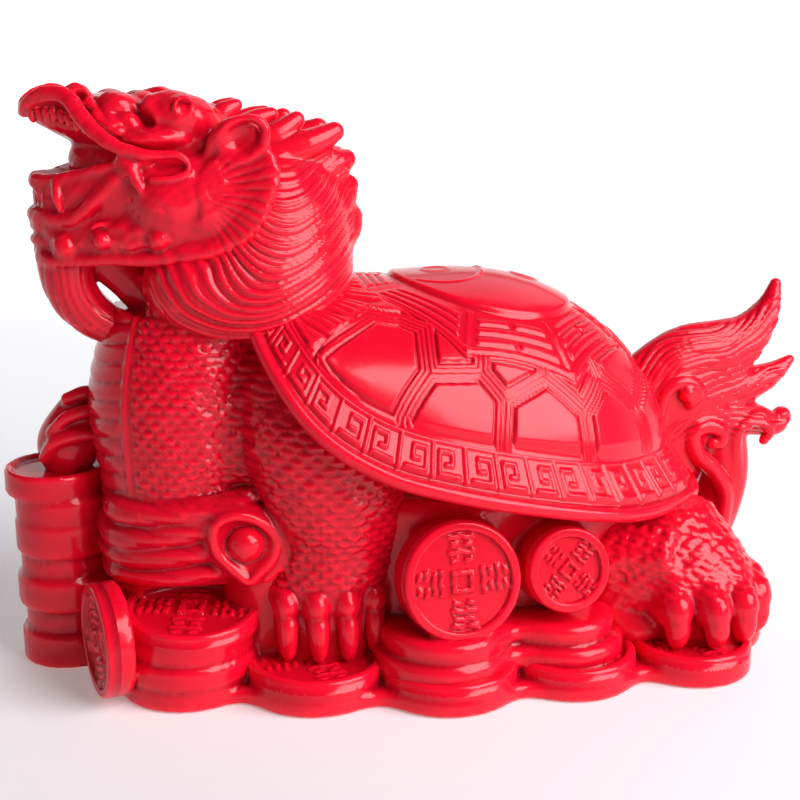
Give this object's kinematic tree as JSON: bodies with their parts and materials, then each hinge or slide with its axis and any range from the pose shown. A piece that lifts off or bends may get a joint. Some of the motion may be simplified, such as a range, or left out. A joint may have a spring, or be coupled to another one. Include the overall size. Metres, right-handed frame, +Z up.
{
  "type": "dragon turtle figure",
  "caption": "Glossy red resin dragon turtle with an open-mouthed dragon head, patterned shell and flame tail, standing on a bed of coins.",
  "frame": {"origin": "centre of the bounding box at its underside, on the surface the figure stands on", "axes": "+Z up, +X from the head to the tail, so the figure faces -X, and its left side is -Y"},
  "size_m": [0.1776, 0.0962, 0.1188],
  "materials": {
    "dragon_turtle": "Glossy opaque red cast resin, one colour all over, with soft pinkish highlights and darker red in the recesses."
  },
  "bodies": {
    "root": {"dragon_turtle": "dragon_turtle"}
  },
  "joints": []
}
